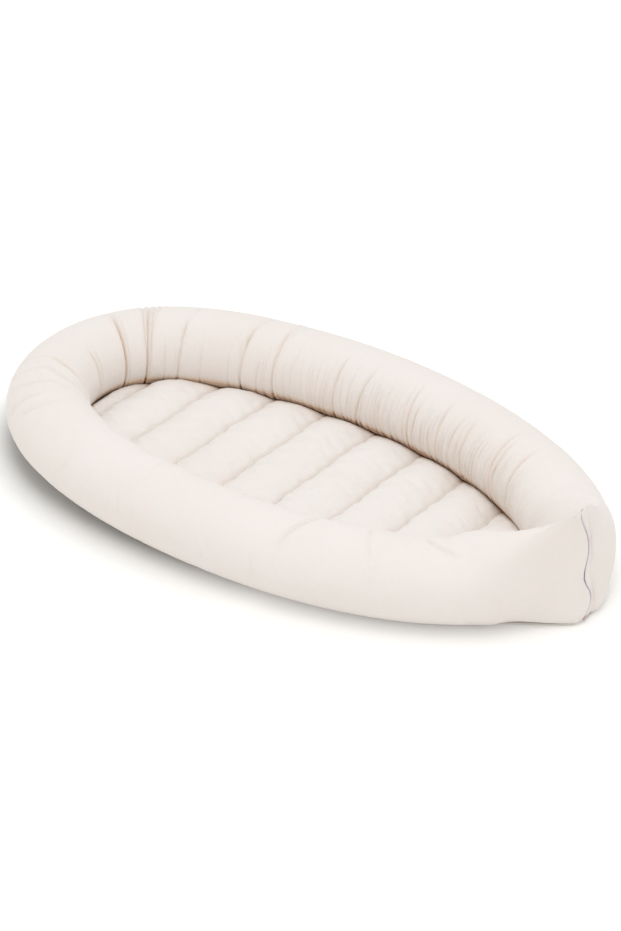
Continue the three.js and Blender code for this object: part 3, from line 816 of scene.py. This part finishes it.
def pad_rise(x, y, across):
    """How far the pad has risen between its seams at a place, in metres and as a share of its channel's
    crown, and how far the pad's edge is."""
    channel = np.clip(np.searchsorted(channel_ends, x, side="right") - 1, 0, channel_seams)
    share = (x - channel_ends[channel]) / (channel_ends[channel + 1] - channel_ends[channel])
    arch = np.sin(np.pi * np.clip(share, 0, 1)) ** arch_power
    side = np.clip(1 - np.abs(across) ** side_powers[0], 0, 1) ** side_powers[1]
    crown = np.where(channel == 0, head_crown, pad_crown) - pad_seam_height
    distance = np.full(len(x), 1.0)
    for corner_x, corner_y in pad_loop:
        distance = np.minimum(distance, np.hypot(x - corner_x, y - corner_y))
    rise = np.minimum(arch * side * crown, edge_rise * distance)
    return rise, rise / crown, distance


def pad_place(share_along, share_round):
    x = np.interp(share_along * (len(pad_columns) - 1), np.arange(len(pad_columns)), pad_columns)
    near = np.interp(x, pad_near[:, 0], pad_near[:, 1])
    far = np.interp(x, pad_far[:, 0], pad_far[:, 1])
    return x, near + share_round * (far - near), 2 * share_round - 1


def seam_wave(x, y):
    """How far the quilting wanders from straight seams, since its cloth is drawn together unevenly."""
    wave = 0.0010 * np.sin(52 * y + 23 * x)
    wave += 0.0007 * np.sin(171 * y - 60 * x)
    wave += 0.0004 * np.sin(310 * y + 90 * x)
    return wave * smooth_step(pad_start, pad_start + 0.02, x) * smooth_step(pad_end, pad_end - 0.02, x)


def pad_top_surface(share_along, share_round):
    x, y, across = pad_place(share_along, share_round)
    return np.stack([x + seam_wave(x, y), y, pad_seam_height + pad_rise(x, y, across)[0]], -1)


def pad_underside(seam_height, share):
    return seam_height - (seam_height - on_sole - back_gap) * np.clip(back_swell * share, 0, 1)


def pad_back_surface(share_along, share_round):
    x, y, across = pad_place(share_along, share_round)
    rise, share, distance = pad_rise(x, y, across)
    seam_gap = 0.0006 * smooth_step(0, 0.004, distance)
    return np.stack([x + seam_wave(x, y), y, pad_underside(pad_seam_height - seam_gap, share)], -1)


pad_size = (float(pad_end - pad_start), float(np.max(pad_far[:, 1]) - np.min(pad_near[:, 1])))
pad_shape = grid_piece(len(pad_columns) - 1, pad_rows, pad_size, pad_top_surface)
back_shape = grid_piece(len(pad_columns) - 1, pad_rows, pad_size, pad_back_surface)
back_mesh = bpy.data.meshes.new("pad_back")
back_shape.to_mesh(back_mesh)
back_shape.free()
pad_shape.from_mesh(back_mesh)
rim = [vert for vert in pad_shape.verts if vert.is_boundary]
bmesh.ops.remove_doubles(pad_shape, verts=rim, dist=1e-5)
bmesh.ops.recalc_face_normals(pad_shape, faces=pad_shape.faces)
pad = finished("pad", pad_shape)
pad_spot = read(pad, "place")
flat_x = pad_place(read(pad, "share_along"), read(pad, "share_round"))[0]
distance = pad_rise(flat_x, pad_spot[:, 1], np.zeros(len(pad_spot)))[2]
on_seam = np.min(np.abs(flat_x[:, None] - channel_seam_places), axis=1)
sewn = (on_seam < 0.0008) | (distance < 0.006) | (pad_spot[:, 2] < 0.004)
puffed(pad, sewn, 1, cap=0.005, even=0.0008, dent=0.001, growth=0.03)
# The gathers near the pad's edge are raised, with painted shade and light along them.
mark(pad, "gather", 0.6 * (1 - smooth_step(0.004, 0.028, distance)))
# Painted shade along the pad's seams and where its edge meets the bolster.
by_edge = 0.70 * (1 - smooth_step(0.0005, 0.0080, distance)) + 0.10 * (1 - smooth_step(0, 0.02, distance))
mark(pad, "recess", 0.13 * fading(on_seam, 0.0030) + by_edge)
declared(pad, "lounger", ["pad_top_cloth", "pad_backing"])
pad_cotton = cloth(
    "pad cotton",
    Tone((0.44, 0.20, 0.080), (0.77, 0.65, 0.53), (0.870, 0.815, 0.785), (0.855, 0.825, 0.785)),
    thread=0.0005,
    relief=0.00003,
)
pad.data.materials.append(pad_cotton)

# The quilting thread: two plies of spun cotton, sewn in short stitches that hold the pad's cloths together
# along each seam.
stitch_length = 0.0034
stitch_step = 0.0052
thread_width = 0.0007
thread_height = 0.0002
seam_end_gap = 0.006


def sewn_on(name, stitches, width, finish):
    """Short threads, each between two points, drawn in at their ends."""
    shape = bmesh.new()
    for start, end in stitches:
        run = end - start
        turned = run.to_track_quat("X", "Z").to_matrix().to_4x4()
        scaled = Matrix.Diagonal((run.length / 2, width / 2, width / 2, 1))
        laid = Matrix.Translation((start + end) / 2) @ turned @ scaled @ Matrix.Rotation(math.pi / 2, 4, "Y")
        bmesh.ops.create_uvsphere(shape, u_segments=6, v_segments=4, radius=1, matrix=laid)
    piece = finished(name, shape)
    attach(piece, "lounger")
    piece.data.materials.append(finish)


def thread_finish(name, light, dark):
    """Spun thread: two plies that turn round each other."""
    thread = Finish(bpy.data.materials.new(name))
    place = thread.node("ShaderNodeTexCoord", {}, {}, "Object")
    ply = thread.node(
        "ShaderNodeTexWave", {"bands_direction": "DIAGONAL"},
        {"Vector": place, "Scale": 700.0, "Distortion": 1.0}, "Fac",
    )
    color = thread.node("ShaderNodeValToRGB", {"stops": [(0, dark), (1, light)]}, {"Fac": ply})
    bump = thread.node("ShaderNodeBump", {}, {"Height": ply * 0.0001, "Distance": 1.0, "Strength": 1.0})
    shader = thread.node(
        "ShaderNodeBsdfPrincipled", {}, {"Base Color": color, "Roughness": ply * 0.2 + 0.55, "Normal": bump}
    )
    thread.node("ShaderNodeOutputMaterial", {}, {"Surface": shader})
    return thread.holder


quilting = []
for seam in channel_seam_places:
    near = np.interp(seam, pad_near[:, 0], pad_near[:, 1]) + seam_end_gap
    far = np.interp(seam, pad_far[:, 0], pad_far[:, 1]) - seam_end_gap
    for start in np.arange(near, far - stitch_length, stitch_step):
        quilting.append([
            Vector((seam + seam_wave(seam, y), y, pad_seam_height + thread_height))
            for y in (start, start + stitch_length)
        ])
cream_thread = thread_finish("cream thread", (0.84, 0.79, 0.74), (0.66, 0.59, 0.52))
sewn_on("quilting_thread", quilting, thread_width, cream_thread)

# The rolls of wadding in the pad's channels: one in each, thinned towards its ends and held by the seams on
# either side.
channel_gap = 0.0016
roll_side_gap = 0.004
roll_end_gap = 0.008
roll_girth = 0.6
for number, (start, end) in enumerate(zip(channel_ends, channel_ends[1:]), 1):

    def roll_surface(share_along, share_round):
        level = np.abs(2 * share_round - 1)
        x = start + roll_side_gap + share_along * (end - start - 2 * roll_side_gap)
        near = np.interp(x, pad_near[:, 0], pad_near[:, 1]) + roll_end_gap
        far = np.interp(x, pad_far[:, 0], pad_far[:, 1]) - roll_end_gap
        far = np.maximum(far, near)
        y = near + level * (far - near)
        rise, share, distance = pad_rise(x, y, 2 * level - 1)
        top = pad_seam_height + rise - channel_gap
        low = pad_underside(pad_seam_height, share) + channel_gap
        ends = np.minimum(smooth_step(0, 0.05, share_along), smooth_step(1, 0.95, share_along))
        ends *= smooth_step(0, 0.03, level) * smooth_step(1, 0.97, level)
        half = np.maximum(top - low, 0) / 2 * ends
        height = (top + low) / 2 + np.where(share_round < 0.5, -half, half)
        return np.stack([x + seam_wave(x, y), y, height], -1)

    roll_size = (float(end - start), roll_girth)
    roll = finished(f"pad_roll_{number}", closed(grid_piece(24, 80, roll_size, roll_surface)))
    declared(roll, "lounger", [f"pad_filling_{number}"])
    roll.data.materials.append(wadding)

# The sole: a flat panel of cotton canvas under the whole lounger, which keeps the ring in its shape. It is
# sewn to the bolster's underside round its edge.
sole_thickness = 0.0015
flat_turn = -math.asin(1 - tube_sag / tube_half_height)
sole_tuck = 0.006
sole_columns = 260
sole_rows = 110
sole_round_reach = tube_half_width * math.cos(flat_turn)
sole_foot_reach = outer_reach(ring_rows[:, 5], ring_rows[:, 9]) - sole_tuck
sole_reach = sole_round_reach + (sole_foot_reach - sole_round_reach) * ring_rows[:, 8]
sole_line = ring_rows[:, 1:3] + ring_rows[:, 3:5] * sole_reach[:, None]
sole_near = sole_line[ring_rows[:, 0] <= 0][::-1]
sole_far = sole_line[ring_rows[:, 0] >= 0]
sole_halves = [
    np.column_stack([np.maximum.accumulate(half[:, 0]), half[:, 1]]) for half in (sole_near, sole_far)
]
sole_start = sole_near[0, 0]
sole_end = max(half[-1, 0] for half in sole_halves)


def sole_surface(share_along, share_round):
    x = sole_start + (1 - np.cos(np.pi * share_along)) / 2 * (sole_end - sole_start)
    near, far = (np.interp(x, half[:, 0], half[:, 1]) for half in sole_halves)
    return np.stack([x, near + share_round * (far - near), np.full(len(x), sole_thickness)], -1)


sole_size = (float(sole_end - sole_start), float(np.max(sole_far[:, 1]) - np.min(sole_near[:, 1])))
sole_shape = closed(grid_piece(sole_columns, sole_rows, sole_size, sole_surface))
flat_area = sum(face.calc_area() for face in sole_shape.faces)
if sole_shape.faces[0].normal.z < 0:
    bmesh.ops.reverse_faces(sole_shape, faces=sole_shape.faces)
bmesh.ops.solidify(sole_shape, geom=sole_shape.faces, thickness=sole_thickness)
sole = finished("sole_panel", sole_shape)
declared(sole, "lounger", ["sole"])
sole_cotton = cloth(
    "sole canvas",
    Tone((0.40, 0.36, 0.31), (0.66, 0.61, 0.55), (0.80, 0.76, 0.70)),
    thread=0.0008,
    relief=0.00006,
    sewn=False,
)
sole.data.materials.append(sole_cotton)

# The bar tack: a few stitches of pink thread, one above the other across the foot seam, just above the floor.
# They keep the seam from tearing below the slit.
tack_bottom = 0.0035
tack_stitches = 9
tack_pitch = 0.0006
tack_reach = 0.0022
tack_out = 0.0012
tack_thread_width = 0.0008
tack = []
for number in range(tack_stitches):
    height = tack_bottom + number * tack_pitch
    face = foot_x + foot_half_width - foot_lean * height / foot_height + tack_out
    middle = zip_y + slit_wave(height)
    tack.append([Vector((face, middle + side * tack_reach, height)) for side in (-1, 1)])
pink_thread = thread_finish("pink thread", (0.78, 0.58, 0.60), (0.60, 0.38, 0.42))
sewn_on("bar_tack", tack, tack_thread_width, pink_thread)

# The zip tapes: two woven bands, sewn behind the lips of the slit, that carry the coils. Tapes and coils are
# drawn in depths behind the foot's outer face, distances from the seam and heights along it.
seam_lean = math.radians(5.894)
seam_up = Vector((-math.sin(seam_lean), 0, math.cos(seam_lean)))
seam_out = Vector((math.cos(seam_lean), 0, math.sin(seam_lean)))
seam_foot = Vector((foot_x + foot_half_width, zip_y, 0))


def at_seam(depth, aside, height):
    """Points behind the foot's outer face, from arrays."""
    depth, aside, height = np.broadcast_arrays(depth, aside, height)
    offset = -depth[:, None] * np.array(seam_out) + height[:, None] * np.array(seam_up)
    offset[:, 1] += aside
    return np.array(seam_foot) + offset


tape_bottom = 0.021
tape_top = 0.143
tape_half_width = 0.013
tape_thickness = 0.0006
tape_start = 0.0029
tape_step = {"out": 0.0019, "from": 0.005, "to": 0.008}
coil_middle = 0.0041
tape_weave = cloth(
    "zip tape",
    Tone((0.5, 0.46, 0.52), (0.66, 0.62, 0.68), (0.80, 0.76, 0.80)),
    thread=0.0009,
    relief=0.0001,
    sewn=False,
)


def tape_surface(side):
    def surface(share_along, share_round):
        aside = tape_start + share_round * (tape_half_width - tape_start)
        depth = coil_middle - tape_step["out"] * smooth_step(tape_step["from"], tape_step["to"], aside)
        return at_seam(depth, side * aside, tape_bottom + share_along * (tape_top - tape_bottom))

    return surface


tape_size = (tape_top - tape_bottom, tape_half_width - tape_start)
for name, side in (("near", -1), ("far", 1)):
    tape_shape = grid_piece(96, 10, tape_size, tape_surface(side))
    bmesh.ops.solidify(tape_shape, geom=tape_shape.faces, thickness=tape_thickness)
    tape = finished(f"tape_{name}", tape_shape)
    declared(tape, "lounger", [f"zip_tape_{name}"])
    tape.data.materials.append(tape_weave)

# The coils: a nylon thread wound flat along the edge of each tape, so that the turns of one lie between those
# of the other. The stops at their ends are of the same nylon.
thread_radius = 0.0003
winding_radius = 0.0006
winding_stretch = 0.00085
coil_pitch = 0.0015
coil_bottom = 0.0316
coil_top = 0.1357
turn_steps = 12
nylon = Finish(bpy.data.materials.new("zip nylon"))
nylon_place = nylon.node("ShaderNodeTexCoord", {}, {}, "Object")
nylon_grain = nylon.noise(nylon_place, 900.0, 2.0)
nylon_tones = [(0.3, (0.70, 0.66, 0.71)), (0.7, (0.80, 0.77, 0.80))]
nylon_color = nylon.node("ShaderNodeValToRGB", {"stops": nylon_tones}, {"Fac": nylon_grain})
nylon_shader = nylon.node(
    "ShaderNodeBsdfPrincipled", {}, {"Base Color": nylon_color, "Roughness": nylon_grain * 0.2 + 0.28}
)
nylon.node("ShaderNodeOutputMaterial", {}, {"Surface": nylon_shader})
for name, side in (("near", -1), ("far", 1)):
    start = coil_bottom + thread_radius + (coil_pitch / 2 if side > 0 else 0)
    turns = math.floor((coil_top - thread_radius - start) / coil_pitch)
    coil_shape = bmesh.new()
    stood = Matrix.Translation((winding_radius, 0, 0)) @ Matrix.Rotation(math.pi / 2, 4, "X")
    bmesh.ops.create_circle(coil_shape, segments=6, radius=thread_radius, matrix=stood)
    bmesh.ops.spin(
        coil_shape, geom=coil_shape.verts[:] + coil_shape.edges[:], cent=(0, 0, 0), axis=(0, 0, 1),
        dvec=(0, 0, coil_pitch / turn_steps), angle=2 * math.pi * turns, steps=turn_steps * turns,
    )
    bmesh.ops.recalc_face_normals(coil_shape, faces=coil_shape.faces)
    spots = np.array([vert.co for vert in coil_shape.verts])
    stretch = winding_stretch * np.clip(spots[:, 1] / winding_radius, -1, 1)
    aside = spots[:, 1] + stretch + side * winding_stretch
    for vert, point in zip(coil_shape.verts, at_seam(coil_middle + spots[:, 0], aside, start + spots[:, 2])):
        vert.co = point
    coil = finished(f"coil_{name}", coil_shape)
    declared(coil, "lounger", [f"zip_coil_{name}"])
    coil.data.materials.append(nylon.holder)
    coil_anchor = at_seam(np.array([coil_middle]), np.array([0.0]), np.array([coil_top]))[0]
    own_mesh(coil)
edge_wear = 0.0001


def worn_and_finished(node, finish):
    """Gives a CAD node its material, and takes the sharpness off its edges."""
    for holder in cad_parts[node].material_slots:
        holder.material = finish
    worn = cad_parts[node].modifiers.new("worn edges", "BEVEL")
    worn.width = edge_wear
    worn.segments = 2
    worn.limit_method = "ANGLE"


for stop in ("zip_lower_stop_near", "zip_lower_stop_far", "zip_upper_stop"):
    worn_and_finished(stop, nylon.holder)

# The slider: a small metal body with a cream lacquer that has worn thin in spots. It rides on the coils, and
# its mesh is the CAD model's own.
lacquer = Finish(bpy.data.materials.new("slider lacquer"))
lacquer_place = lacquer.node("ShaderNodeTexCoord", {}, {}, "Object")
lacquer_wear = lacquer.noise(lacquer_place, 400.0, 2.0)
lacquer_tones = [(0.25, (0.62, 0.58, 0.55)), (0.45, (0.83, 0.79, 0.76))]
lacquer_color = lacquer.node("ShaderNodeValToRGB", {"stops": lacquer_tones}, {"Fac": lacquer_wear})
lacquer_shader = lacquer.node(
    "ShaderNodeBsdfPrincipled", {},
    {"Base Color": lacquer_color, "Roughness": lacquer_wear * 0.25 + 0.2, "Coat Weight": 0.4},
)
lacquer.node("ShaderNodeOutputMaterial", {}, {"Surface": lacquer_shader})
worn_and_finished("zip_slider", lacquer.holder)
